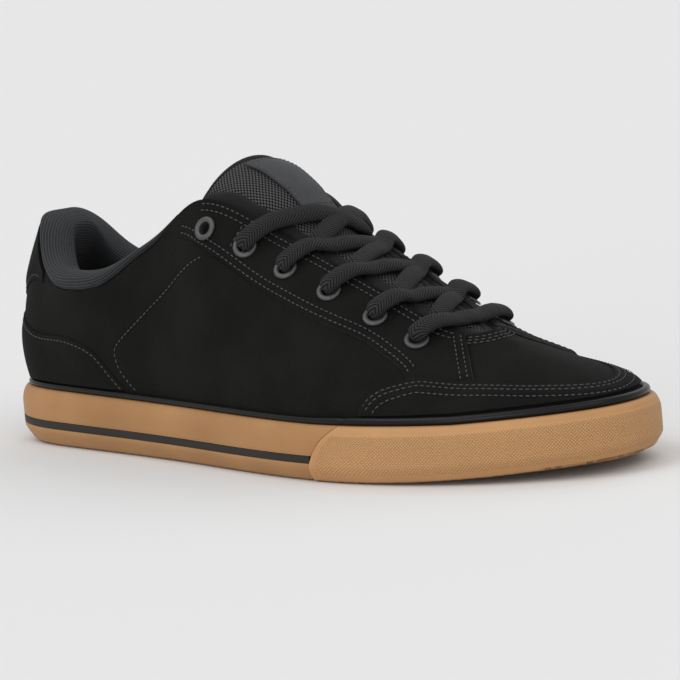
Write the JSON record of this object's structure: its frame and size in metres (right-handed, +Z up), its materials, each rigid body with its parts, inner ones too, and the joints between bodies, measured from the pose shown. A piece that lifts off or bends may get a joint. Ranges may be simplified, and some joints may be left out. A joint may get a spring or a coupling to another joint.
{
  "type": "low skateboarding shoe",
  "caption": "Low black nubuck skateboarding shoe for the right foot, on a gum rubber cupsole with a dark stripe and a raised toe bumper, with padded collar, thick tongue and fat laces.",
  "frame": {"origin": "middle of the box round the shoe, on the ground under the sole", "axes": "+X towards the toe, +Y towards the inner side of the right foot, +Z up"},
  "size_m": [0.2994, 0.1087, 0.1099],
  "materials": {
    "gum_rubber": "matte",
    "stripe_rubber": "matte",
    "rand_rubber": "satin",
    "insole_foam": "matte",
    "nubuck": "matte",
    "collar_textile": "matte",
    "tongue_mesh": "matte",
    "label_satin": "satin",
    "eyelet_metal": "satin",
    "lace_cord": "matte"
  },
  "bodies": {
    "root": {"cupsole": "gum_rubber", "sidewall_stripe": "stripe_rubber", "rand": "rand_rubber", "insole": "insole_foam", "upper": "nubuck", "toe_guard": "nubuck", "heel_counter": "nubuck", "heel_tab": "nubuck", "eyestay_lateral": "nubuck", "eyestay_medial": "nubuck", "collar_lining": "collar_textile", "tongue": "tongue_mesh", "tongue_label": "label_satin", "eyelet_lateral_1": "eyelet_metal", "eyelet_lateral_2": "eyelet_metal", "eyelet_lateral_3": "eyelet_metal", "eyelet_lateral_4": "eyelet_metal", "eyelet_lateral_5": "eyelet_metal", "eyelet_lateral_6": "eyelet_metal", "eyelet_medial_1": "eyelet_metal", "eyelet_medial_2": "eyelet_metal", "eyelet_medial_3": "eyelet_metal", "eyelet_medial_4": "eyelet_metal", "eyelet_medial_5": "eyelet_metal", "eyelet_medial_6": "eyelet_metal", "lacing": "lace_cord"}
  },
  "joints": []
}
